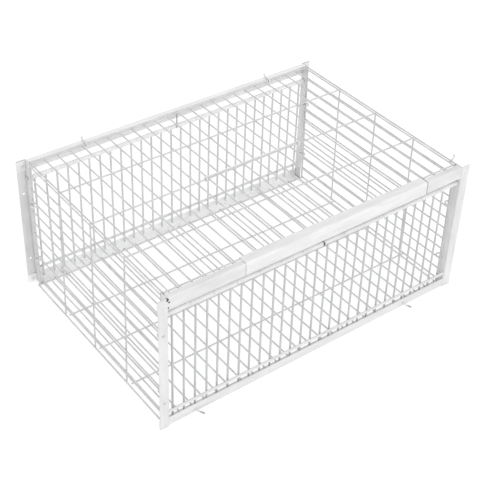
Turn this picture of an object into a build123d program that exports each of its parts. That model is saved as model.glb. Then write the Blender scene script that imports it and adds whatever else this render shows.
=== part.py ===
from build123d import *
from math import atan2, cos, degrees, hypot, radians, sin
import os

os.makedirs("parts", exist_ok=True)

# Pigeon cage: two sheet-angle frames with one-way drop bars, closed by four welded-mesh panels.
# X runs along the doorways, Y from front to back, Z up. The origin is the middle of the base.

# Size over the two frames, in millimetres
FRAME_LENGTH = 400.0
FRAME_DEPTH = 275.0
FRAME_HEIGHT = 166.0

# Bent sheet angle of the posts and rails
SHEET = 0.8
POST_WIDTH = 11.0
POST_LEG = 11.0
TOP_RAIL_WIDTH = 14.0
TOP_RAIL_LEG = 7.0
BOTTOM_RAIL_WIDTH = 11.0
BOTTOM_RAIL_LEG = 11.0
BEND_INSIDE = 0.4
LEG_TRIM_GAP = 0.3

# Mounting holes in the post flanges
MOUNT_HOLE = 3.0
MOUNT_HOLE_LOW = 34.0
MOUNT_HOLE_HIGH = 123.0

# Corner rivets
RIVET_SHANK = 3.0
RIVET_HEAD = 5.0
RIVET_HEAD_HEIGHT = 0.8
RIVET_CLEARANCE = 0.05

# Drop bars, the sleeves that carry them and the rods that the sleeves turn on
BOB_COUNT = 28
BOBS_PER_SLEEVE = 2
BOB_WIRE = 2.2
BOB_LAP = 4.0
BOB_SINK = 0.6
SLEEVE_DIAMETER = 5.0
SLEEVE_END_GAP = 0.1
ROD_DIAMETER = 2.5
ROD_INSET = 4.8
ROD_BELOW_RAIL = 8.0
ROD_HEAD = 3.8
ROD_HEAD_LENGTH = 1.0
ROD_HEAD_GAP = 0.2
ROD_HOLE_CLEARANCE = 0.1
RUNNING_CLEARANCE = 0.05

# Wire hook under the top rail that holds each rod up in the middle
HANGER_WIRE = 1.6
HANGER_CLEARANCE = 0.1
HANGER_TIP = 1.5

# Rod near the ground, outside the drop bars, that stops them from swinging outward
STOP_ROD = 3.0
STOP_GAP = 0.3
STOP_ABOVE_RAIL = 7.5
STOP_END_GAP = 0.1

# Welded mesh
MESH_WIRE = 1.7
WELD_SINK = 0.35
MESH_OVERHANG = 0.85
TOP_WIRES = 25
CROSS_WIRES = 5
SIDE_ROWS = 12
SIDE_ROW_MARGIN = 1.7
SIDE_ROW_OUT = 0.8
SIDE_SPLAY = 3.0
SIDE_UPRIGHT_BACK = 2.0
FLOOR_FRONT_INSET = 4.1
FLOOR_BACK_INSET = 14.1
FLOOR_LAP = 2.5
PANEL_GAP = 0.3
SEAT_GAP = 0.05
WIRE_END_GAP = 0.2

# Rings that tie each side mesh to the post legs
RING_WIRE = 1.6
RING_HOLE = 2.4
RING_HOLE_FROM_EDGE = 2.5
RING_RADIUS = 3.6
RING_LOW_ROWS = 2
RING_HIGH_ROWS = 7

# Hooked wires that tie the floor to the bottom rails
TIE_WIRE = 1.6
TIE_HOLE_CLEARANCE = 0.15
TIE_HEEL_GAP = 0.2
TIE_OUT = 0.5
TIE_BEND = 1.5
TIE_TURN = 50.0
TIE_LEAN = 60.0
TIE_END = 8.8
TIE_LEFT_WIRES = 1
TIE_LEFT_SHARE = 0.86
TIE_RIGHT_WIRES = 20
TIE_RIGHT_SHARE = 0.14

# Hooks on the back top rail that the lid turns in
EYE_SWEEP = 240.0
HOOK_WIRE = 1.8
HOOK_EDGE_GAP = 0.1
HOOK_END_INSET = 1.8
HOOK_BEND = 2.0
HOOK_RISE = 4.5
HOOK_PAD = 4.0
HOOK_PAD_WIDTH = 2.2
HOOK_LEFT_WIRES = 4
HOOK_LEFT_SHARE = 0.25
HOOK_RIGHT_WIRES = 20
HOOK_RIGHT_SHARE = 0.3

# Folded strip on the front edge of the lid
STRIP_SHEET = 0.6
STRIP_FACE_GAP = 0.2
STRIP_TOP_GAP = 0.25
STRIP_ABOVE_FOOT = 0.2
STRIP_FROM_LEFT = 100.0
STRIP_FROM_RIGHT = 62.0
STRIP_LIP_GAP = 0.3
STRIP_LIP_INSIDE = 0.3

# Doubled wire to grip in the middle of the lid
GRIP_WIRE = 2.0
GRIP_RING_WIRE = 1.8
GRIP_ASIDE = 2.0
GRIP_LEFT_WIRES = 8
GRIP_LEFT_SHARE = 0.75
GRIP_RIGHT_WIRES = 16
GRIP_RIGHT_SHARE = 0.65

# Hook that holds the lid down, on the top wire of the right side mesh
LATCH_WIRE = 1.4
LATCH_FROM_FRONT = 19.0
LATCH_LENGTH = 7.0
LATCH_BEND = 1.6
LATCH_TIP = 2.0
LATCH_LEAN = 35.0
LATCH_LID_GAP = 0.2

# Frame places
half_length = FRAME_LENGTH / 2
half_depth = FRAME_DEPTH / 2
post_face_x = half_length - POST_WIDTH
post_leg_edge = half_depth - POST_LEG
flange_x = half_length - POST_WIDTH / 2
rail_face = half_depth - SHEET
rail_back = rail_face - SHEET
top_leg_edge = rail_face - TOP_RAIL_LEG
bottom_leg_edge = rail_face - BOTTOM_RAIL_LEG
rail_leg_x = post_face_x - LEG_TRIM_GAP
top_rail_foot = FRAME_HEIGHT - TOP_RAIL_WIDTH
bend_outside = BEND_INSIDE + SHEET
rivet_heights = (BOTTOM_RAIL_WIDTH / 2, FRAME_HEIGHT - TOP_RAIL_WIDTH / 2)
mount_heights = (MOUNT_HOLE_LOW, MOUNT_HOLE_HIGH)

# Rod and drop bar places
rod_y = half_depth - ROD_INSET
rod_z = top_rail_foot - ROD_BELOW_RAIL
bob_pitch = 2 * post_face_x / BOB_COUNT
bob_x = [(index + 0.5) * bob_pitch - post_face_x for index in range(BOB_COUNT)]
bob_toe_z = BOTTOM_RAIL_WIDTH - BOB_LAP
bob_top_z = rod_z - SLEEVE_DIAMETER / 2 + BOB_SINK
sleeve_bore = ROD_DIAMETER + 2 * RUNNING_CLEARANCE
sleeve_count = BOB_COUNT // BOBS_PER_SLEEVE
sleeve_bounds = [index * BOBS_PER_SLEEVE * bob_pitch - post_face_x for index in range(sleeve_count + 1)]
hanger_x = sleeve_bounds[sleeve_count // 2]
stop_y = rod_y + BOB_WIRE / 2 + STOP_GAP + STOP_ROD / 2
stop_z = BOTTOM_RAIL_WIDTH + STOP_ABOVE_RAIL

# Mesh places, shared by the panels and by what holds them
wire_step = MESH_WIRE - WELD_SINK
side_row_x = post_face_x + SHEET / 2 + SIDE_ROW_OUT
side_upright_x = side_row_x - wire_step
side_row_pitch = (FRAME_HEIGHT - 2 * SIDE_ROW_MARGIN) / (SIDE_ROWS - 1)
side_rows = [SIDE_ROW_MARGIN + index * side_row_pitch for index in range(SIDE_ROWS)]
side_row_end = post_leg_edge - WIRE_END_GAP
side_end_y = side_row_end - MESH_OVERHANG
latch_eye = MESH_WIRE / 2 + RUNNING_CLEARANCE + LATCH_WIRE / 2
latch_room = latch_eye + LATCH_WIRE / 2 + LATCH_LID_GAP
upright_room = side_row_x - side_upright_x + MESH_WIRE / 2 + PANEL_GAP
top_edge_x = side_row_x - max(latch_room + MESH_WIRE / 2, upright_room + MESH_OVERHANG)
top_pitch = 2 * top_edge_x / (TOP_WIRES - 1)
top_x = [index * top_pitch - top_edge_x for index in range(TOP_WIRES)]
hook_eye = MESH_WIRE / 2 + RUNNING_CLEARANCE + HOOK_WIRE / 2
cross_edge_y = top_leg_edge - hook_eye - HOOK_WIRE / 2 - HOOK_EDGE_GAP
cross_pitch = 2 * cross_edge_y / (CROSS_WIRES - 1)
cross_y = [index * cross_pitch - cross_edge_y for index in range(CROSS_WIRES)]
lid_axis_z = FRAME_HEIGHT + STRIP_TOP_GAP - MESH_WIRE / 2
lid_wire_z = lid_axis_z - wire_step
floor_wire_z = SHEET + SEAT_GAP + MESH_WIRE / 2
floor_cross_z = floor_wire_z + wire_step
floor_wire_end = bottom_leg_edge + FLOOR_LAP
floor_front_y = -half_depth + FLOOR_FRONT_INSET
floor_back_y = half_depth - FLOOR_BACK_INSET
floor_front_end = floor_front_y - MESH_OVERHANG
floor_cross_pitch = (floor_back_y - floor_front_y) / (CROSS_WIRES - 1)
floor_cross_y = [floor_front_y + index * floor_cross_pitch for index in range(CROSS_WIRES)]

# A side ring passes through a hole in the post leg, round the leg's free edge and the end upright beside it
ring_hole_y = post_leg_edge + RING_HOLE_FROM_EDGE
ring_y = ring_hole_y - RING_RADIUS
ring_x = post_face_x + SHEET / 2
ring_heights = [(side_rows[row] + side_rows[row + 1]) / 2 for row in (RING_LOW_ROWS, RING_HIGH_ROWS)]


def side_out(height):
    """Way that a side mesh stands out at a height: nothing at its top row, the whole splay at the ground."""
    return SIDE_SPLAY * (side_rows[-1] - height) / side_rows[-1]


def between_wires(wires, share):
    """X of a place past a number of gaps between lid or floor wires, and past a share of the next gap."""
    return (wires + share) * top_pitch - top_edge_x


def angle_section(flange, leg):
    """Bent sheet angle with its outer corner at the origin, the flange along x and the leg along y."""
    with BuildSketch() as section:
        with BuildLine():
            Polyline((0, 0), (flange, 0), (flange, SHEET), (SHEET, SHEET), (SHEET, leg), (0, leg), close=True)
        make_face()
        inner = section.vertices().sort_by_distance((SHEET, SHEET, 0))[0]
        fillet(inner, BEND_INSIDE)
        outer = section.vertices().sort_by_distance((0, 0, 0))[0]
        fillet(outer, bend_outside)
    return section.sketch


def finish_piece(piece, name):
    """Label one finished piece and write it as its own STEP file."""
    piece.part.label = name
    export_step(piece.part, f"parts/{name}.step")


tie_x = [between_wires(TIE_LEFT_WIRES, TIE_LEFT_SHARE), between_wires(TIE_RIGHT_WIRES, TIE_RIGHT_SHARE)]
tie_eye = MESH_WIRE / 2 + RUNNING_CLEARANCE + TIE_WIRE / 2
tie_shank_z = floor_cross_z + tie_eye

# Post: flange in the frame's face, leg on the doorway side, leg notched where the rail flanges pass
with BuildPart() as front_left_post:
    with BuildSketch(Plane((-post_face_x, -half_depth, FRAME_HEIGHT), x_dir=(-1, 0, 0), z_dir=(0, 0, -1))):
        add(angle_section(POST_WIDTH, POST_LEG))
    extrude(amount=FRAME_HEIGHT)
    with BuildSketch(Plane.YZ.offset(-post_face_x)):
        with Locations((-rail_face, top_rail_foot - LEG_TRIM_GAP)):
            Rectangle(SHEET + LEG_TRIM_GAP, TOP_RAIL_WIDTH + LEG_TRIM_GAP, align=(Align.MIN, Align.MIN))
        with Locations((-rail_face, 0)):
            Rectangle(SHEET + LEG_TRIM_GAP, BOTTOM_RAIL_WIDTH + LEG_TRIM_GAP, align=(Align.MIN, Align.MIN))
    extrude(amount=SHEET + bend_outside, both=True, mode=Mode.SUBTRACT)
    with BuildSketch(Plane.XZ.offset(half_depth)):
        with Locations(*[(-flange_x, height) for height in mount_heights]):
            Circle(MOUNT_HOLE / 2)
        with Locations(*[(-flange_x, height) for height in rivet_heights]):
            Circle(RIVET_SHANK / 2 + RIVET_CLEARANCE)
    extrude(amount=-SHEET, mode=Mode.SUBTRACT)
    with BuildSketch(Plane.YZ.offset(-post_face_x)):
        with Locations((-rod_y, rod_z)):
            Circle(ROD_DIAMETER / 2 + ROD_HOLE_CLEARANCE)
        with Locations(*[(-ring_hole_y, height) for height in ring_heights]):
            Circle(RING_HOLE / 2)
    extrude(amount=-SHEET, mode=Mode.SUBTRACT)
finish_piece(front_left_post, "front_left_post")

with BuildPart() as front_right_post:
    mirror(front_left_post.part, about=Plane.YZ)
finish_piece(front_right_post, "front_right_post")

# Top rail: flange behind the post flanges, leg on top and ending between the posts
with BuildPart() as front_top_rail:
    with BuildSketch(Plane((-half_length, -rail_face, FRAME_HEIGHT), x_dir=(0, 0, -1), z_dir=(1, 0, 0))):
        add(angle_section(TOP_RAIL_WIDTH, TOP_RAIL_LEG))
    extrude(amount=FRAME_LENGTH)
    with BuildSketch(Plane.XZ.offset(rail_back)):
        with Locations((-half_length, FRAME_HEIGHT), (half_length, FRAME_HEIGHT)):
            Rectangle(2 * (half_length - rail_leg_x), 2 * (SHEET + BEND_INSIDE))
    extrude(amount=-TOP_RAIL_LEG, mode=Mode.SUBTRACT)
    with BuildSketch(Plane.XZ.offset(rail_face)):
        with Locations((-flange_x, rivet_heights[1]), (flange_x, rivet_heights[1])):
            Circle(RIVET_SHANK / 2 + RIVET_CLEARANCE)
    extrude(amount=-SHEET, mode=Mode.SUBTRACT)
finish_piece(front_top_rail, "front_top_rail")

# Bottom rail: flange behind the post flanges, leg on the ground between the posts, holes for the floor ties
with BuildPart() as front_bottom_rail:
    with BuildSketch(Plane((half_length, -rail_face, 0), x_dir=(0, 0, 1), z_dir=(-1, 0, 0))):
        add(angle_section(BOTTOM_RAIL_WIDTH, BOTTOM_RAIL_LEG))
    extrude(amount=FRAME_LENGTH)
    with BuildSketch(Plane.XZ.offset(rail_back)):
        with Locations((-half_length, 0), (half_length, 0)):
            Rectangle(2 * (half_length - rail_leg_x), 2 * (SHEET + BEND_INSIDE))
    extrude(amount=-BOTTOM_RAIL_LEG, mode=Mode.SUBTRACT)
    with BuildSketch(Plane.XZ.offset(rail_face)):
        with Locations((-flange_x, rivet_heights[0]), (flange_x, rivet_heights[0])):
            Circle(RIVET_SHANK / 2 + RIVET_CLEARANCE)
        with Locations(*[(x, tie_shank_z) for x in tie_x]):
            Circle(TIE_WIRE / 2 + TIE_HOLE_CLEARANCE)
    extrude(amount=-SHEET, mode=Mode.SUBTRACT)
finish_piece(front_bottom_rail, "front_bottom_rail")

# Corner rivets: domed heads on both sides of the two lapped flanges
with BuildPart() as rivet:
    with BuildSketch():
        with BuildLine():
            head_top = (0, -half_depth - RIVET_HEAD_HEIGHT)
            tail_top = (0, -rail_back + RIVET_HEAD_HEIGHT)
            TangentArc(head_top, (RIVET_HEAD / 2, -half_depth), tangent=(1, 0))
            Polyline(
                (RIVET_HEAD / 2, -half_depth),
                (RIVET_SHANK / 2, -half_depth),
                (RIVET_SHANK / 2, -rail_back),
                (RIVET_HEAD / 2, -rail_back),
            )
            TangentArc(tail_top, (RIVET_HEAD / 2, -rail_back), tangent=(1, 0))
            Line(tail_top, head_top)
        make_face()
    revolve(axis=Axis.Y)

with BuildPart() as front_corner_rivets:
    with Locations(*[(x, 0, z) for x in (-flange_x, flange_x) for z in rivet_heights]):
        add(rivet.part)
finish_piece(front_corner_rivets, "front_corner_rivets")

# Rod through the post legs, with an upset head outside each leg
rod_head_x = post_face_x + SHEET + ROD_HEAD_GAP + ROD_HEAD_LENGTH / 2
with BuildPart() as front_bob_rod:
    with Locations((0, -rod_y, rod_z)):
        Cylinder(ROD_DIAMETER / 2, 2 * rod_head_x, rotation=(0, 90, 0))
    with Locations((-rod_head_x, -rod_y, rod_z), (rod_head_x, -rod_y, rod_z)):
        Cylinder(ROD_HEAD / 2, ROD_HEAD_LENGTH, rotation=(0, 90, 0))
finish_piece(front_bob_rod, "front_bob_rod")

# Hanger: hooked wire from under the top rail's leg, down between two sleeves and round under the rod
hanger_radius = ROD_DIAMETER / 2 + HANGER_CLEARANCE + HANGER_WIRE / 2
with BuildPart() as front_rod_hanger:
    with BuildLine(Plane.YZ.offset(hanger_x)) as hanger_path:
        Line((-rod_y + hanger_radius, FRAME_HEIGHT - SHEET - SEAT_GAP), (-rod_y + hanger_radius, rod_z))
        CenterArc((-rod_y, rod_z), hanger_radius, 0, -180)
        Line((-rod_y - hanger_radius, rod_z), (-rod_y - hanger_radius, rod_z + HANGER_TIP))
    with BuildSketch(Plane(hanger_path.wire() @ 0, z_dir=hanger_path.wire() % 0)):
        Circle(HANGER_WIRE / 2)
    sweep(path=hanger_path.wire())
finish_piece(front_rod_hanger, "front_rod_hanger")

# Stop rod between the post legs, outside the drop bars
with BuildPart() as front_stop_rod:
    with Locations((0, -stop_y, stop_z)):
        Cylinder(STOP_ROD / 2, 2 * (post_face_x - STOP_END_GAP), rotation=(0, 90, 0))
finish_piece(front_stop_rod, "front_stop_rod")

# The back frame mirrors the front frame across the middle of the cage
front_frame = {
    "left_post": front_left_post,
    "right_post": front_right_post,
    "top_rail": front_top_rail,
    "bottom_rail": front_bottom_rail,
    "corner_rivets": front_corner_rivets,
    "bob_rod": front_bob_rod,
    "rod_hanger": front_rod_hanger,
    "stop_rod": front_stop_rod,
}
for piece_name, front_piece in front_frame.items():
    with BuildPart() as back_piece:
        mirror(front_piece.part, about=Plane.XZ)
    finish_piece(back_piece, f"back_{piece_name}")


def sleeve_end(bound):
    """Room that a sleeve leaves at one of its bounds, for its neighbour or for the hanger."""
    return SLEEVE_END_GAP + (HANGER_WIRE / 2 if bound == hanger_x else 0)


# Drop bars: straight wires welded under a sleeve that turns on the rod, from the left end to the right
for side, sign in (("front", -1), ("back", 1)):
    for group in range(sleeve_count):
        sleeve_left = sleeve_bounds[group] + sleeve_end(sleeve_bounds[group])
        sleeve_right = sleeve_bounds[group + 1] - sleeve_end(sleeve_bounds[group + 1])
        group_x = bob_x[group * BOBS_PER_SLEEVE:(group + 1) * BOBS_PER_SLEEVE]
        with BuildPart() as bob_group:
            with Locations(((sleeve_left + sleeve_right) / 2, sign * rod_y, rod_z)):
                Cylinder(SLEEVE_DIAMETER / 2, sleeve_right - sleeve_left, rotation=(0, 90, 0))
                Cylinder(sleeve_bore / 2, sleeve_right - sleeve_left, rotation=(0, 90, 0), mode=Mode.SUBTRACT)
            with BuildSketch(Plane.XY.offset(bob_toe_z)):
                with Locations(*[(x, sign * rod_y) for x in group_x]):
                    Circle(BOB_WIRE / 2)
            extrude(amount=bob_top_z - bob_toe_z)
        finish_piece(bob_group, f"{side}_drop_bars_{group + 1:02d}")

# Floor: depth wires on the rail legs, cross wires welded on top, all but the front one as far as the sides
floor_reach = side_upright_x + side_out(floor_cross_z) - MESH_WIRE / 2 - PANEL_GAP
with BuildPart() as floor_mesh:
    with Locations(*[(x, (floor_front_end + floor_wire_end) / 2, floor_wire_z) for x in top_x]):
        Cylinder(MESH_WIRE / 2, floor_wire_end - floor_front_end, rotation=(90, 0, 0))
    with Locations((0, floor_front_y, floor_cross_z)):
        Cylinder(MESH_WIRE / 2, 2 * (top_edge_x + MESH_OVERHANG), rotation=(0, 90, 0))
    with Locations(*[(0, y, floor_cross_z) for y in floor_cross_y[1:]]):
        Cylinder(MESH_WIRE / 2, 2 * floor_reach, rotation=(0, 90, 0))
finish_piece(floor_mesh, "floor_mesh")

# Lid: depth wires welded under the cross wires, the back cross wire is the hinge pin
with BuildPart() as lid_mesh:
    with Locations(*[(x, 0, lid_wire_z) for x in top_x]):
        Cylinder(MESH_WIRE / 2, 2 * (cross_edge_y + MESH_OVERHANG), rotation=(90, 0, 0))
    with Locations(*[(0, y, lid_axis_z) for y in cross_y]):
        Cylinder(MESH_WIRE / 2, 2 * (top_edge_x + MESH_OVERHANG), rotation=(0, 90, 0))
finish_piece(lid_mesh, "lid_mesh")

# Side mesh: splayed from the plane of the post legs, uprights inside, depth wires welded outside them
upright_y = [-side_end_y] + [y + SIDE_UPRIGHT_BACK for y in cross_y[1:-1]] + [side_end_y]
upright_height = FRAME_HEIGHT - 2 * (SHEET + SEAT_GAP)
upright_x = side_upright_x + side_out(FRAME_HEIGHT / 2)
upright_lean = degrees(atan2(SIDE_SPLAY, side_rows[-1]))
with BuildPart() as right_side_mesh:
    with Locations(*[(upright_x, y, FRAME_HEIGHT / 2) for y in upright_y]):
        Cylinder(MESH_WIRE / 2, upright_height, rotation=(0, -upright_lean, 0))
    with Locations(*[(side_row_x + side_out(z), 0, z) for z in side_rows]):
        Cylinder(MESH_WIRE / 2, 2 * side_row_end, rotation=(90, 0, 0))
finish_piece(right_side_mesh, "right_side_mesh")

with BuildPart() as left_side_mesh:
    mirror(right_side_mesh.part, about=Plane.YZ)
finish_piece(left_side_mesh, "left_side_mesh")

# Side rings, two on each post
for side, sign in (("left", -1), ("right", 1)):
    with BuildPart() as side_rings:
        with Locations(*[(sign * ring_x, y, z) for y in (-ring_y, ring_y) for z in ring_heights]):
            Torus(RING_RADIUS, RING_WIRE / 2)
    finish_piece(side_rings, f"{side}_side_rings")

# Floor ties: hooked over the floor's end wire, shank out through the rail flange, end bent down and aside
tie_turn = radians(TIE_TURN)
tie_lean = radians(TIE_LEAN)
tie_heel_z = SHEET + TIE_HEEL_GAP
for side, sign, hooked_y in (("front", -1, floor_front_y), ("back", 1, floor_back_y)):
    out = Vector(0, sign, 0)
    aside = Vector(sin(tie_lean), 0, -cos(tie_lean))
    heel_y = hooked_y - sign * tie_eye
    bend_start = Vector(0, sign * (half_depth + TIE_OUT), tie_shank_z)
    bend_end = bend_start + out * TIE_BEND * sin(tie_turn) + aside * TIE_BEND * (1 - cos(tie_turn))
    tie_tip = bend_end + (out * cos(tie_turn) + aside * sin(tie_turn)) * TIE_END
    with BuildPart() as tie:
        with BuildLine() as tie_path:
            Line((0, heel_y, tie_heel_z), (0, heel_y, floor_cross_z))
            TangentArc((0, heel_y, floor_cross_z), (0, hooked_y, tie_shank_z), tangent=(0, 0, 1))
            Line((0, hooked_y, tie_shank_z), bend_start)
            TangentArc(bend_start, bend_end, tangent=out)
            Line(bend_end, tie_tip)
        with BuildSketch(Plane(tie_path.wire() @ 0, z_dir=tie_path.wire() % 0)):
            Circle(TIE_WIRE / 2)
        sweep(path=tie_path.wire())
    with BuildPart() as floor_ties:
        with Locations(*[(x, 0, 0) for x in tie_x]):
            add(tie.part)
    finish_piece(floor_ties, f"{side}_floor_ties")

# Lid hinge hook: eye round the lid's back wire, tail welded on the rail by a pad, end standing up
hook_tail_z = lid_axis_z + hook_eye
hook_end_y = half_depth - HOOK_END_INSET
hook_bend_y = hook_end_y - HOOK_BEND
hook_pad_y = (top_leg_edge + hook_bend_y) / 2
hook_x = [between_wires(HOOK_LEFT_WIRES, HOOK_LEFT_SHARE), between_wires(HOOK_RIGHT_WIRES, HOOK_RIGHT_SHARE)]
with BuildPart() as lid_hook:
    with BuildLine(Plane.YZ) as hook_path:
        CenterArc((cross_edge_y, lid_axis_z), hook_eye, 90 + EYE_SWEEP, 180 - EYE_SWEEP)
        CenterArc((cross_edge_y, lid_axis_z), hook_eye, 270, -180)
        Line((cross_edge_y, hook_tail_z), (hook_bend_y, hook_tail_z))
        CenterArc((hook_bend_y, hook_tail_z + HOOK_BEND), HOOK_BEND, 270, 90)
        Line((hook_end_y, hook_tail_z + HOOK_BEND), (hook_end_y, FRAME_HEIGHT + HOOK_RISE))
    with BuildSketch(Plane(hook_path.wire() @ 0, z_dir=hook_path.wire() % 0)):
        Circle(HOOK_WIRE / 2)
    sweep(path=hook_path.wire())
    with BuildSketch(Plane.XY.offset(FRAME_HEIGHT)):
        with Locations((0, hook_pad_y)):
            RectangleRounded(HOOK_PAD_WIDTH, HOOK_PAD, HOOK_PAD_WIDTH / 3)
    extrude(amount=hook_tail_z - FRAME_HEIGHT)

with BuildPart() as lid_hinge_hooks:
    with Locations(*[(x, 0, 0) for x in hook_x]):
        add(lid_hook.part)
finish_piece(lid_hinge_hooks, "lid_hinge_hooks")

# Lid edge strip: folded over the front rail, with a lip behind the lid's front wire
strip_under = FRAME_HEIGHT + STRIP_TOP_GAP
strip_top = strip_under + STRIP_SHEET
strip_back_face = -rail_face - STRIP_FACE_GAP
strip_face = strip_back_face - STRIP_SHEET
strip_foot = top_rail_foot + STRIP_ABOVE_FOOT
lip_face = -cross_edge_y + MESH_WIRE / 2 + STRIP_LIP_GAP
lip_back = lip_face + STRIP_SHEET
lip_foot = lid_wire_z + MESH_WIRE / 2 + WIRE_END_GAP
strip_bend = bend_outside + STRIP_FACE_GAP
with BuildPart() as lid_edge_strip:
    with BuildSketch(Plane.YZ.offset(STRIP_FROM_LEFT - half_length)) as strip_section:
        with BuildLine():
            Polyline(
                (strip_face, strip_foot),
                (strip_face, strip_top),
                (lip_back, strip_top),
                (lip_back, lip_foot),
                (lip_face, lip_foot),
                (lip_face, strip_under),
                (strip_back_face, strip_under),
                (strip_back_face, strip_foot),
                close=True,
            )
        make_face()
        corners = strip_section.vertices()
        fillet(corners.sort_by_distance((strip_back_face, strip_under, 0))[0], strip_bend)
        corners = strip_section.vertices()
        fillet(corners.sort_by_distance((strip_face, strip_top, 0))[0], strip_bend + STRIP_SHEET)
        corners = strip_section.vertices()
        fillet(corners.sort_by_distance((lip_back, strip_top, 0))[0], STRIP_LIP_INSIDE + STRIP_SHEET)
        corners = strip_section.vertices()
        fillet(corners.sort_by_distance((lip_face, strip_under, 0))[0], STRIP_LIP_INSIDE)
    extrude(amount=FRAME_LENGTH - STRIP_FROM_LEFT - STRIP_FROM_RIGHT)
finish_piece(lid_edge_strip, "lid_edge_strip")

# Grip wire: rod beside the lid's middle cross wire, a ring round that wire at each end
grip_x = [between_wires(GRIP_LEFT_WIRES, GRIP_LEFT_SHARE), between_wires(GRIP_RIGHT_WIRES, GRIP_RIGHT_SHARE)]
grip_z = lid_wire_z + MESH_WIRE / 2 + SEAT_GAP + GRIP_WIRE / 2
grip_ring = hypot(GRIP_ASIDE, grip_z - lid_axis_z)
with BuildPart() as lid_grip_wire:
    with Locations(((grip_x[0] + grip_x[1]) / 2, GRIP_ASIDE, grip_z)):
        Cylinder(GRIP_WIRE / 2, grip_x[1] - grip_x[0], rotation=(0, 90, 0))
    with Locations(*[(x, 0, lid_axis_z) for x in grip_x]):
        Torus(grip_ring, GRIP_RING_WIRE / 2, rotation=(0, 90, 0))
finish_piece(lid_grip_wire, "lid_grip_wire")

# Lid latch hook: eye round the side mesh's top wire, shank leaning outward, tip bent back
latch_lean = radians(LATCH_LEAN)
latch_plane = Plane(
    (side_row_x, LATCH_FROM_FRONT - half_depth, side_rows[-1]),
    x_dir=(cos(latch_lean), 0, -sin(latch_lean)),
    z_dir=(0, -1, 0),
)
latch_turn = LATCH_LENGTH - LATCH_BEND
with BuildPart() as lid_latch_hook:
    with BuildLine(latch_plane) as latch_path:
        CenterArc((0, 0), latch_eye, -EYE_SWEEP, EYE_SWEEP - 180)
        CenterArc((0, 0), latch_eye, -180, 180)
        Line((latch_eye, 0), (latch_eye, latch_turn))
        CenterArc((latch_eye - LATCH_BEND, latch_turn), LATCH_BEND, 0, 90)
        Line((latch_eye - LATCH_BEND, LATCH_LENGTH), (latch_eye - LATCH_BEND - LATCH_TIP, LATCH_LENGTH))
    with BuildSketch(Plane(latch_path.wire() @ 0, z_dir=latch_path.wire() % 0)):
        Circle(LATCH_WIRE / 2)
    sweep(path=latch_path.wire())
finish_piece(lid_latch_hook, "lid_latch_hook")
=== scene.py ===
import math
import random

import bpy
from mathutils import Matrix, Vector


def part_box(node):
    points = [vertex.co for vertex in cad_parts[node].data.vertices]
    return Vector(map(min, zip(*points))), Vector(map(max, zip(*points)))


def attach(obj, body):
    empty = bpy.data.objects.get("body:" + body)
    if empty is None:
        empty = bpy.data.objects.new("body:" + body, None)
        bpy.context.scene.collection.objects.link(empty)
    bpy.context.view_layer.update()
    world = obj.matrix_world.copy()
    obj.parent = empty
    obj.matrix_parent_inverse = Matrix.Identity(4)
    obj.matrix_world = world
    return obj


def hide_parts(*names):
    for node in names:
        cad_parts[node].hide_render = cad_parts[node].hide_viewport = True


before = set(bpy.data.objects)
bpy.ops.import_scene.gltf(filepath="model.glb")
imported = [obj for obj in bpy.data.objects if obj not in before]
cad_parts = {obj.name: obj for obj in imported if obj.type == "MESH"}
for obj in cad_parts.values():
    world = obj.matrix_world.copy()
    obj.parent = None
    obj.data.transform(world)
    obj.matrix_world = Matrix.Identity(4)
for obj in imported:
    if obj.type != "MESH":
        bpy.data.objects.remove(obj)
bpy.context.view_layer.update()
scene = bpy.context.scene
wobble = random.Random(11)
MM = 0.001

# Wires of the four mesh panels
WIRE_RADIUS = 0.85 * MM
WIRE_BOW = 0.3 * MM
DEPTH_WIRES = 25
CROSS_WIRES = 5
SIDE_ROWS = 12
SIDE_ROW_MARGIN = 1.7 * MM
SIDE_UPRIGHT_BACK = 2.0 * MM
PANEL_OVERHANG = 0.85 * MM
FLOOR_BACK_INSET = 4.8 * MM
WELD_SINK = 0.35 * MM
WELD_SPREAD = 1.0 * MM
WELD_THICK = 0.55 * MM

# Drop bars and their sleeves
BAR_COUNT = 28
BARS_PER_SLEEVE = 2
BAR_RADIUS = 1.1 * MM
BAR_SINK = 0.6 * MM
BAR_SWAY = 0.35 * MM
BAR_BOW = 0.25 * MM
BAR_WELD = 1.7 * MM
SLEEVE_BORE = 1.3 * MM
SLEEVE_EDGE = 0.35 * MM

# Grey band at the right end of the lid strip, painted shade for the shadow line at its cut end, and darker
# grey on the tips of the floor ties
STRIP_END_SHADE = 1.3 * MM
TIE_TIP_GREY = (3.9 * MM, 3.1 * MM)

# Painted shadow: near-black spots at the front left corner, for the shade in the gaps between post and
# rail:
# from the post's inner top corner to the right and down, then half width and half height
CORNER_SHADOW_SPOTS = (
    (-0.3 * MM, 1.5 * MM, 1.9 * MM, 1.9 * MM),
    (1.6 * MM, 5.0 * MM, 1.2 * MM, 1.3 * MM),
    (0.7 * MM, 11.6 * MM, 0.7 * MM, 2.2 * MM),
)

# Reach of the painted shade laid into the bends of the posts, grey wherever ambient occlusion finds a
# crease
CREASE_SHADE_REACH = 4.0 * MM

# Paint patches per metre along X, Y and Z, drawn out along each kind of piece
RAIL_STREAKS = (25.0, 120.0, 120.0)
POST_STREAKS = (140.0, 140.0, 30.0)
SLEEVE_STREAKS = (60.0, 200.0, 200.0)
BAR_STREAKS = (300.0, 300.0, 45.0)
WIRE_PATCHES = (90.0, 90.0, 90.0)
FITTING_PATCHES = (260.0, 260.0, 260.0)

# Camera solved on the corners of the cage, image taken as 500 by 500 pixels
IMAGE = 500
AZIMUTH = math.radians(-38.16)
ELEVATION = math.radians(36.92)
ROLL = math.radians(2.37)
DISTANCE = 1.22246
AIM = Vector((0.0, 0.0, 0.130))
ASIDE = 0.00504
ABOVE = -0.03276
FOCAL_PIXELS = 1126.0
CENTRE_PIXEL = (248.65, 221.18)
SENSOR = 36.0

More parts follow.
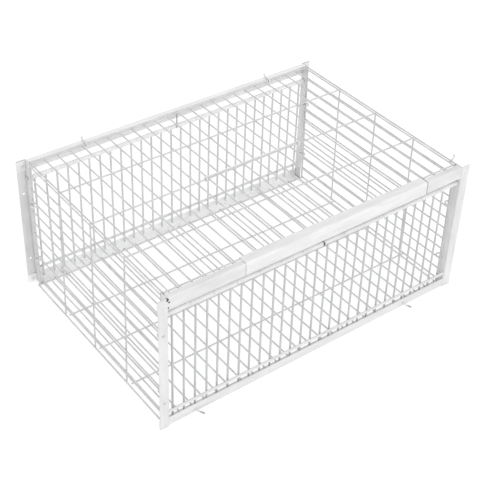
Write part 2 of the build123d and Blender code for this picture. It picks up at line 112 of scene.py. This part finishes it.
# Studio: white all round, brighter from the front and from above, over a white floor lit from below
SKY_LEVEL = 0.93
SKY_TILT = (-0.12, -0.26, 0.16)
KEY_STRENGTH = 0.35
KEY_ANGLE = math.radians(50.0)
KEY_AZIMUTH = math.radians(25.0)
KEY_ELEVATION = math.radians(40.0)
FLOOR_HALF = 30.0
FLOOR_GLOW = 0.78


def linear(hex_colour):
    """Linear RGBA of an sRGB colour written as hex."""
    channels = [int(hex_colour[place:place + 2], 16) / 255 for place in (1, 3, 5)]
    return tuple(c / 12.92 if c <= 0.04045 else ((c + 0.055) / 1.055) ** 2.4 for c in channels) + (1.0,)


def add_node(tree, kind, values=None, links=None):
    """One shader node: values go to its inputs or its own settings, links give the sockets it reads."""
    node = tree.nodes.new(kind)
    for key, value in (values or {}).items():
        if isinstance(key, str) and hasattr(node, key):
            setattr(node, key, value)
        else:
            node.inputs[key].default_value = value
    for key, socket in (links or {}).items():
        tree.links.new(socket, node.inputs[key])
    return node


def painted_steel(name, clean, worn, streak, gloss, peel, crease_shade=0.0):
    """White paint on steel: soft tone patches, fine specks, streaks along the piece and orange peel.

    clean and worn are the two tones, streak the patches per metre along X, Y and Z, gloss the roughness,
    peel the height of the orange peel in millimetres and the last argument the share of painted shade, grey
    laid into creases.
    """
    material = bpy.data.materials.new(name)
    material.use_nodes = True
    tree = material.node_tree
    shader = tree.nodes["Principled BSDF"]
    place = add_node(tree, "ShaderNodeTexCoord").outputs["Object"]
    stretched = add_node(tree, "ShaderNodeVectorMath", {"operation": "MULTIPLY", 1: streak}, {0: place})
    patches = add_node(
        tree, "ShaderNodeTexNoise", {"Scale": 1.0, "Detail": 4.0, "Roughness": 0.6},
        {"Vector": stretched.outputs[0]},
    )
    specks = add_node(tree, "ShaderNodeTexNoise", {"Scale": 700.0, "Detail": 2.0}, {"Vector": place})
    speck_share = add_node(
        tree, "ShaderNodeMapRange",
        {"From Min": 0.62, "From Max": 0.78, "To Min": 0.0, "To Max": 0.35},
        {"Value": specks.outputs["Fac"]},
    )
    patch_share = add_node(
        tree, "ShaderNodeMapRange",
        {"From Min": 0.35, "From Max": 0.75, "To Min": 0.0, "To Max": 0.8},
        {"Value": patches.outputs["Fac"]},
    )
    share = add_node(
        tree, "ShaderNodeMath", {"operation": "ADD", "use_clamp": True},
        {0: patch_share.outputs[0], 1: speck_share.outputs[0]},
    )
    tone = add_node(
        tree, "ShaderNodeMix", {"data_type": "RGBA", 6: linear(clean), 7: linear(worn)},
        {0: share.outputs[0]},
    )
    rough = add_node(
        tree, "ShaderNodeMapRange", {"To Min": gloss - 0.07, "To Max": gloss + 0.12},
        {"Value": patches.outputs["Fac"]},
    )
    grain = add_node(tree, "ShaderNodeTexNoise", {"Scale": 900.0, "Detail": 2.0}, {"Vector": place})
    bump = add_node(
        tree, "ShaderNodeBump", {"Strength": 0.6, "Distance": peel * MM}, {"Height": grain.outputs["Fac"]},
    )
    # Painted shade: grey darkening in creases and bends, found by ambient occlusion, where shade falls
    if crease_shade:
        crease = add_node(tree, "ShaderNodeAmbientOcclusion", {"samples": 8, "Distance": CREASE_SHADE_REACH})
        crease_shade_share = add_node(
            tree, "ShaderNodeMapRange", {"From Min": 0.75, "From Max": 0.35, "To Max": crease_shade},
            {"Value": crease.outputs["AO"]},
        )
        tone = add_node(
            tree, "ShaderNodeMix", {"data_type": "RGBA", 7: linear("#6E6F70")},
            {0: crease_shade_share.outputs[0], 6: tone.outputs[2]},
        )
    tree.links.new(tone.outputs[2], shader.inputs["Base Color"])
    tree.links.new(rough.outputs[0], shader.inputs["Roughness"])
    tree.links.new(bump.outputs[0], shader.inputs["Normal"])
    shader.inputs["Metallic"].default_value = 0.0
    shader.inputs["IOR"].default_value = 1.5
    return material


# White satin paint on bent sheet: nearly even, with faint long streaks; the copies for the front rails, the
# back bottom rail and the posts are darker or lighter as painted shade and painted light, and the grey
# marks laid on them are painted shade
sheet_paint = painted_steel(
    "white_satin_paint_on_bent_sheet", "#EAEAEA", "#D6D6D7", RAIL_STREAKS, 0.38, 0.02,
)
strip_paint = painted_steel(
    "white_satin_paint_on_lid_strip", "#E4E4E4", "#D0D0D1", RAIL_STREAKS, 0.38, 0.02,
)
# Front rails: a darker copy, painted shade
rail_paint = painted_steel(
    "white_satin_paint_with_painted_shade_on_front_rail", "#DDDDDD", "#C8C8C9", RAIL_STREAKS, 0.4, 0.02,
)
# Back bottom rail: a lighter copy, painted light for the light that the inside of the cage lacks
back_rail_paint = painted_steel(
    "white_satin_paint_with_painted_light_on_back_rail", "#F8F8F8", "#E8E8E9", RAIL_STREAKS, 0.4, 0.02,
)
# Posts: a darker copy of the sheet paint as painted shade, with painted shade laid into their bends (last
# argument)
post_paint = painted_steel(
    "white_satin_paint_with_painted_shade_on_post_sheet", "#DEDEDE", "#C8C8C9", POST_STREAKS, 0.4, 0.02, 0.6,
)
# White satin paint on drawn tube and rod: clean, rubbed a little where neighbours touch; the back sleeves
# take a lighter copy as painted light
sleeve_paint = {
    "front": painted_steel(
        "white_satin_paint_on_front_sleeve", "#E4E4E4", "#C8C9CA", SLEEVE_STREAKS, 0.36, 0.015,
    ),
    "back": painted_steel(
        "white_satin_paint_with_painted_light_on_back_sleeve", "#EFEFEF", "#D9DADB", SLEEVE_STREAKS, 0.36, 0.015,
    ),
}
stop_paint = painted_steel(
    "white_satin_paint_on_stop_rod", "#DDDDDD", "#C2C3C4", SLEEVE_STREAKS, 0.36, 0.015,
)
# White paint on straight wire: greyer than the sheet paint as painted shade on thin wire; the front copy
# darker as painted shade, the back copy lighter as painted light
bar_paint = {
    "front": painted_steel(
        "white_paint_with_painted_shade_on_front_bar", "#C5C6C7", "#A8A9AA", BAR_STREAKS, 0.36, 0.015,
    ),
    "back": painted_steel(
        "white_paint_with_painted_light_on_back_bar", "#D2D3D4", "#B7B8B9", BAR_STREAKS, 0.36, 0.015,
    ),
}
# Dipped white coating on welded wire: uneven thickness, greyer where it is thin, and greyer overall than
# the sheet paint as painted shade on the thin wires
wire_coat = painted_steel(
    "dipped_white_coating_on_wire", "#D0D0D1", "#B4B5B6", WIRE_PATCHES, 0.42, 0.03,
)
# White paint on the tie wires, darker grey towards their tips near the ground
tie_paint = painted_steel(
    "white_paint_on_tie_wire", "#DCDCDD", "#BEBFC0", FITTING_PATCHES, 0.45, 0.02,
)
# White paint on bent wire: thinner, so that the grey metal shows through in spots
fastener_paint = painted_steel(
    "thin_white_paint_on_fastener", "#DCDCDD", "#BEBFC0", FITTING_PATCHES, 0.4, 0.02,
)
# Dark grey wire on the front hanger, and mid grey paint on the back one
hanger_wire = painted_steel(
    "dark_grey_wire_on_front_hanger", "#4C4C4D", "#2E2E2F", FITTING_PATCHES, 0.5, 0.02,
)
back_hanger_paint = painted_steel(
    "mid_grey_paint_on_back_hanger", "#B4B5B6", "#8C8D8E", FITTING_PATCHES, 0.45, 0.02,
)


def add_mark(material, share, colour):
    """Second colour laid over the paint of a material by a share from 0 to 1."""
    tree = material.node_tree
    shader = tree.nodes["Principled BSDF"]
    painted = shader.inputs["Base Color"].links[0].from_socket
    tone = add_node(tree, "ShaderNodeMix", {"data_type": "RGBA", 7: linear(colour)}, {0: share, 6: painted})
    tree.links.new(tone.outputs[2], shader.inputs["Base Color"])


def darken_end(material, axis, start, end):
    """Grey band darkening one end of a piece, from start to end along one axis in metres."""
    tree = material.node_tree
    place = add_node(tree, "ShaderNodeTexCoord").outputs["Object"]
    along = add_node(tree, "ShaderNodeSeparateXYZ", None, {0: place})
    share = add_node(
        tree, "ShaderNodeMapRange", {"From Min": start, "From Max": end, "To Max": 0.85},
        {"Value": along.outputs[axis]},
    )
    # Grey of the band: painted shade on the lid strip, a plain darker tone on the tie tips
    add_mark(material, share.outputs[0], "#808182")


def paint_shadow_spot(material, centre, reach):
    """Painted shadow: near-black spot for the shade in a gap, by its centre and its half sizes along X, Y
    and Z in metres.
    """
    tree = material.node_tree
    place = add_node(tree, "ShaderNodeTexCoord").outputs["Object"]
    away = add_node(tree, "ShaderNodeVectorMath", {"operation": "SUBTRACT", 1: centre}, {0: place})
    scaled = add_node(tree, "ShaderNodeVectorMath", {"operation": "DIVIDE", 1: reach}, {0: away.outputs[0]})
    far = add_node(tree, "ShaderNodeVectorMath", {"operation": "LENGTH"}, {0: scaled.outputs[0]})
    share = add_node(
        tree, "ShaderNodeMapRange", {"From Min": 1.0, "From Max": 0.8}, {"Value": far.outputs["Value"]},
    )
    # Near-black: painted shadow
    add_mark(material, share.outputs[0], "#161617")


def spread(low, high, count):
    """Evenly spaced places from low to high."""
    return [low + (high - low) * index / (count - 1) for index in range(count)]


def new_shape():
    """Empty list of points and faces that wires and welds are added to."""
    return {"points": [], "faces": []}


def skin(shape, rings, closed):
    """Faces over a row of rings of points; a closed row joins up, an open one gets end caps."""
    sides = len(rings[0])
    start = len(shape["points"])
    for ring in rings:
        shape["points"].extend(ring)
    rows = len(rings)
    for row in range(rows if closed else rows - 1):
        low = start + row * sides
        high = start + (row + 1) % rows * sides
        for side in range(sides):
            turn = (side + 1) % sides
            shape["faces"].append((low + side, low + turn, high + turn, high + side))
    if not closed:
        last = start + (rows - 1) * sides
        shape["faces"].append(tuple(range(start + sides - 1, start - 1, -1)))
        shape["faces"].append(tuple(range(last, last + sides)))


def circle(centre, axis, other, radius, sides):
    """Ring of points round a centre in the plane of two axes."""
    turns = [2 * math.pi * side / sides for side in range(sides)]
    return [centre + (axis * math.cos(turn) + other * math.sin(turn)) * radius for turn in turns]


def add_wire(shape, path, radius, sides=14):
    """Round wire along a path of points, with softened cut ends."""
    path = [Vector(point) for point in path]
    steps = [(b - a).normalized() for a, b in zip(path, path[1:])]
    tangents = [steps[0]] + [(a + b).normalized() for a, b in zip(steps, steps[1:])] + [steps[-1]]
    axis = tangents[0].orthogonal().normalized()
    edge = 0.35 * radius
    rounding = [math.radians(angle) for angle in (90, 60, 30, 0)]
    ends = [(edge * (1 - math.sin(turn)), radius - edge * (1 - math.cos(turn))) for turn in rounding]
    rings = []
    for along, size in ends:
        rings.append(circle(path[0] + tangents[0] * along, axis, tangents[0].cross(axis), size, sides))
    for before, tangent, point in zip(tangents, tangents[1:-1], path[1:-1]):
        axis = before.rotation_difference(tangent) @ axis
        rings.append(circle(point, axis, tangent.cross(axis), radius, sides))
    axis = tangents[-2].rotation_difference(tangents[-1]) @ axis
    for along, size in reversed(ends):
        rings.append(circle(path[-1] - tangents[-1] * along, axis, tangents[-1].cross(axis), size, sides))
    skin(shape, rings, False)


def add_bead(shape, centre, reach, sides=12, rows=6):
    """Flattened bead of melted metal, reach gives its half sizes along X, Y and Z."""
    rings = []
    for row in range(1, rows):
        polar = math.pi * row / rows
        level = Vector((0.0, 0.0, -math.cos(polar)))
        flat = circle(level, Vector((1, 0, 0)), Vector((0, 1, 0)), math.sin(polar), sides)
        rings.append([centre + Vector([p * r for p, r in zip(point, reach)]) for point in flat])
    skin(shape, rings, False)


def add_weld(shape, centre, thin_axis):
    """Weld where two wires of a panel cross, no two quite alike."""
    reach = [WELD_SPREAD * wobble.uniform(0.85, 1.1) for _ in range(3)]
    reach[thin_axis] = WELD_THICK * wobble.uniform(0.85, 1.1)
    add_bead(shape, Vector(centre), reach)


def add_sleeve(shape, left, right, y, z, radius, sides=28):
    """Short tube along X with softened ends and an open bore."""
    corner = 0.3 * SLEEVE_EDGE
    half_profile = [
        (0.0, SLEEVE_BORE), (0.0, radius - SLEEVE_EDGE), (corner, radius - corner), (SLEEVE_EDGE, radius),
    ]
    profile = [(left + inset, size) for inset, size in half_profile]
    profile += [(right - inset, size) for inset, size in reversed(half_profile)]
    across = Vector((0, 1, 0))
    up = Vector((0, 0, 1))
    skin(shape, [circle(Vector((x, y, z)), across, up, size, sides) for x, size in profile], True)


def bowed(start, end, axis, sway, stations=36):
    """Points from start to end that leave the straight line a little along one axis, as drawn wire does."""
    start = Vector(start)
    end = Vector(end)
    phase = wobble.uniform(0, 2 * math.pi)
    waves = wobble.uniform(0.8, 2.2)
    points = []
    for station in range(stations + 1):
        share = station / stations
        point = start.lerp(end, share)
        point[axis] += sway * math.sin(math.pi * share) * math.sin(phase + waves * 2 * math.pi * share)
        points.append(point)
    return points


def add_piece(name, shape, body, node, material, smooth_to=180.0):
    """Mesh object from a shape, smooth up to an angle, standing for its CAD node."""
    mesh = bpy.data.meshes.new(name)
    mesh.from_pydata(shape["points"], [], shape["faces"])
    mesh.validate()
    mesh.shade_smooth()
    mesh.set_sharp_from_angle(angle=math.radians(smooth_to))
    mesh.materials.append(material)
    piece = bpy.data.objects.new(name, mesh)
    scene.collection.objects.link(piece)
    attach(piece, body)
    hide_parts(node)


def add_drop_bars():
    """Each sleeve with its two straight bars, welded on from below."""
    post_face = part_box("front_right_post")[0].x
    pitch = 2 * post_face / BAR_COUNT
    for side in ("front", "back"):
        for group in range(BAR_COUNT // BARS_PER_SLEEVE):
            node = f"{side}_drop_bars_{group + 1:02d}"
            low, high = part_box(node)
            radius = (high.y - low.y) / 2
            y = (low.y + high.y) / 2
            z = high.z - radius
            sleeve = new_shape()
            add_sleeve(sleeve, low.x, high.x, y, z, radius)
            add_piece(f"{node}_sleeve", sleeve, node, node, sleeve_paint[side], 40.0)
            bars = new_shape()
            bar_top = z - radius + BAR_SINK
            for member in range(BARS_PER_SLEEVE):
                x = (group * BARS_PER_SLEEVE + member + 0.5) * pitch - post_face
                sway = [wobble.uniform(-BAR_SWAY, BAR_SWAY) for _ in range(2)]
                bow = wobble.uniform(-BAR_BOW, BAR_BOW)
                path = []
                for share in spread(0.0, 1.0, 25):
                    aside = sway[0] * (1 - share) + bow * math.sin(math.pi * share)
                    path.append((x + aside, y + sway[1] * (1 - share), low.z + (bar_top - low.z) * share))
                add_wire(bars, path, BAR_RADIUS)
                add_bead(bars, Vector((x, y, z - radius)), (BAR_WELD, 0.8 * BAR_WELD, 0.45 * BAR_WELD))
            add_piece(f"{node}_wires", bars, node, node, bar_paint[side])


def add_flat_panel(name, body, node, back_inset):
    """Lid or floor: depth wires under cross wires, the front cross wire as wide as the lid."""
    low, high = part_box(node)
    lid_low, lid_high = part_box("lid_mesh")
    depth_z = low.z + WIRE_RADIUS
    cross_z = high.z - WIRE_RADIUS
    cross_y = spread(low.y + PANEL_OVERHANG, high.y - back_inset, CROSS_WIRES)
    shape = new_shape()
    for place, x in enumerate(spread(lid_low.x + PANEL_OVERHANG, lid_high.x - PANEL_OVERHANG, DEPTH_WIRES)):
        sway = WIRE_BOW if 0 < place < DEPTH_WIRES - 1 else 0.0
        add_wire(shape, bowed((x, low.y, depth_z), (x, high.y, depth_z), 0, sway), WIRE_RADIUS)
        for y in cross_y:
            add_weld(shape, (x, y, (depth_z + cross_z) / 2), 2)
    for place, y in enumerate(cross_y):
        sway = WIRE_BOW if 0 < place < CROSS_WIRES - 1 else 0.0
        left = lid_low.x if place == 0 else low.x
        right = lid_high.x if place == 0 else high.x
        add_wire(shape, bowed((left, y, cross_z), (right, y, cross_z), 1, sway), WIRE_RADIUS)
    add_piece(name, shape, body, node, wire_coat)


def add_side_panel(side, sign):
    """Side, splayed towards the ground: uprights inside, depth wires welded outside them."""
    node = f"{side}_side_mesh"
    low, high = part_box(node)
    lid_low, lid_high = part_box("lid_mesh")
    post_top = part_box("front_left_post")[1].z
    row_z = spread(SIDE_ROW_MARGIN, post_top - SIDE_ROW_MARGIN, SIDE_ROWS)
    step = 2 * WIRE_RADIUS - WELD_SINK
    top_x = min(abs(low.x), abs(high.x)) + WIRE_RADIUS
    foot_x = max(abs(low.x), abs(high.x)) - WIRE_RADIUS - step
    splay = (foot_x - top_x) / (high.z - row_z[0])
    lid_cross = spread(lid_low.y + PANEL_OVERHANG, lid_high.y - PANEL_OVERHANG, CROSS_WIRES)
    inner_y = [y + SIDE_UPRIGHT_BACK for y in lid_cross[1:-1]]
    upright_y = [low.y + PANEL_OVERHANG] + inner_y + [high.y - PANEL_OVERHANG]
    shape = new_shape()
    for place, y in enumerate(upright_y):
        sway = WIRE_BOW if 0 < place < len(upright_y) - 1 else 0.0
        foot = (sign * (top_x + splay * (high.z - low.z)), y, low.z)
        add_wire(shape, bowed(foot, (sign * top_x, y, high.z), 1, sway), WIRE_RADIUS)
    for place, z in enumerate(row_z):
        sway = WIRE_BOW if 0 < place < SIDE_ROWS - 1 else 0.0
        upright_x = top_x + splay * (high.z - z)
        row_x = sign * (upright_x + step)
        add_wire(shape, bowed((row_x, low.y, z), (row_x, high.y, z), 2, sway), WIRE_RADIUS)
        for y in upright_y:
            add_weld(shape, (sign * (upright_x + step / 2), y, z), 0)
    add_piece(f"{node}_wires", shape, "cage", node, wire_coat)


def add_panels():
    """The four welded panels."""
    add_flat_panel("lid_mesh_wires", "lid", "lid_mesh", PANEL_OVERHANG)
    add_flat_panel("floor_mesh_wires", "cage", "floor_mesh", FLOOR_BACK_INSET)
    add_side_panel("left", -1)
    add_side_panel("right", 1)


def paint_cad_pieces():
    """Paint on the sheet pieces and small fittings that keep their CAD shape."""
    strip_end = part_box("lid_edge_strip")[1].x
    # Painted shade: grey band at the strip's right cut end, for the shadow line where the strip steps onto
    # the rail
    darken_end(strip_paint, 0, strip_end - STRIP_END_SHADE, strip_end - 0.7 * STRIP_END_SHADE)
    # Tie tips: darker grey towards the ground
    darken_end(tie_paint, 2, *TIE_TIP_GREY)
    post_low, post_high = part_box("front_left_post")
    # Painted shadow spots where the front left post meets the front top rail, on the post and rail paints
    for aside, down, half_wide, half_tall in CORNER_SHADOW_SPOTS:
        centre = (post_high.x + aside, post_low.y, post_high.z - down)
        for paint in (post_paint, rail_paint):
            paint_shadow_spot(paint, centre, (half_wide, 2 * half_wide, half_tall))
    for name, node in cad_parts.items():
        if "post" in name or "rivets" in name:
            paint = post_paint
        elif name in ("front_top_rail", "front_bottom_rail"):
            paint = rail_paint
        elif name == "back_bottom_rail":
            paint = back_rail_paint
        elif "strip" in name:
            paint = strip_paint
        elif "rail" in name:
            paint = sheet_paint
        elif "bob_rod" in name:
            paint = bar_paint["front"]
        elif "stop_rod" in name:
            paint = stop_paint
        elif "grip" in name:
            paint = sleeve_paint["front"]
        elif name == "front_floor_ties":
            paint = tie_paint
        elif name == "front_rod_hanger":
            paint = hanger_wire
        elif name == "back_rod_hanger":
            paint = back_hanger_paint
        else:
            paint = fastener_paint
        node.data.materials.clear()
        node.data.materials.append(paint)


def add_floor():
    """White acrylic floor lit from below, large enough to fill every view."""
    mesh = bpy.data.meshes.new("studio_floor")
    corners = [(-FLOOR_HALF, -FLOOR_HALF, 0.0), (FLOOR_HALF, -FLOOR_HALF, 0.0),
               (FLOOR_HALF, FLOOR_HALF, 0.0), (-FLOOR_HALF, FLOOR_HALF, 0.0)]
    mesh.from_pydata(corners, [], [(0, 1, 2, 3)])
    material = bpy.data.materials.new("white_acrylic_floor")
    material.use_nodes = True
    shader = material.node_tree.nodes["Principled BSDF"]
    shader.inputs["Base Color"].default_value = linear("#8C8C8C")
    shader.inputs["Roughness"].default_value = 0.95
    shader.inputs["Specular IOR Level"].default_value = 0.0
    shader.inputs["Emission Color"].default_value = linear("#FFFFFF")
    shader.inputs["Emission Strength"].default_value = FLOOR_GLOW
    mesh.materials.append(material)
    floor = bpy.data.objects.new("studio_floor", mesh)
    scene.collection.objects.link(floor)


def add_lights():
    """White surround that is brighter from the front and from above, and one broad soft key light."""
    world = bpy.data.worlds.new("studio")
    scene.world = world
    world.use_nodes = True
    tree = world.node_tree
    direction = add_node(tree, "ShaderNodeTexCoord").outputs["Generated"]
    towards = add_node(
        tree, "ShaderNodeVectorMath", {"operation": "DOT_PRODUCT", 1: SKY_TILT}, {0: direction},
    )
    level = add_node(
        tree, "ShaderNodeMath", {"operation": "ADD", 1: SKY_LEVEL}, {0: towards.outputs["Value"]},
    )
    tree.links.new(level.outputs[0], tree.nodes["Background"].inputs["Strength"])
    tree.nodes["Background"].inputs["Color"].default_value = linear("#FFFFFF")
    data = bpy.data.lights.new("soft_key", "SUN")
    data.energy = KEY_STRENGTH
    data.angle = KEY_ANGLE
    key = bpy.data.objects.new("soft_key", data)
    source = Vector((
        math.sin(KEY_AZIMUTH) * math.cos(KEY_ELEVATION),
        -math.cos(KEY_AZIMUTH) * math.cos(KEY_ELEVATION),
        math.sin(KEY_ELEVATION),
    ))
    key.rotation_euler = source.to_track_quat("Z", "Y").to_euler()
    scene.collection.objects.link(key)


def add_camera():
    """Camera of the photo, placed by its angles about the aim point and by its shift."""
    back = Vector((
        math.sin(AZIMUTH) * math.cos(ELEVATION),
        -math.cos(AZIMUTH) * math.cos(ELEVATION),
        math.sin(ELEVATION),
    ))
    right = Vector((math.cos(AZIMUTH), math.sin(AZIMUTH), 0.0))
    up = back.cross(right)
    turned_right = right * math.cos(ROLL) + up * math.sin(ROLL)
    turned_up = up * math.cos(ROLL) - right * math.sin(ROLL)
    data = bpy.data.cameras.new("photo_camera")
    data.sensor_width = SENSOR
    data.lens = FOCAL_PIXELS * SENSOR / IMAGE
    data.shift_x = (IMAGE / 2 - CENTRE_PIXEL[0]) / IMAGE
    data.shift_y = (CENTRE_PIXEL[1] - IMAGE / 2) / IMAGE
    data.clip_start = 0.05
    data.clip_end = 100.0
    camera = bpy.data.objects.new("photo_camera", data)
    place = AIM + turned_right * ASIDE + turned_up * ABOVE + back * DISTANCE
    axes = Matrix((turned_right, turned_up, back)).transposed().to_4x4()
    camera.matrix_world = Matrix.Translation(place) @ axes
    scene.collection.objects.link(camera)
    scene.camera = camera


paint_cad_pieces()
add_drop_bars()
add_panels()
add_floor()
add_lights()
add_camera()
scene.view_settings.view_transform = "Standard"
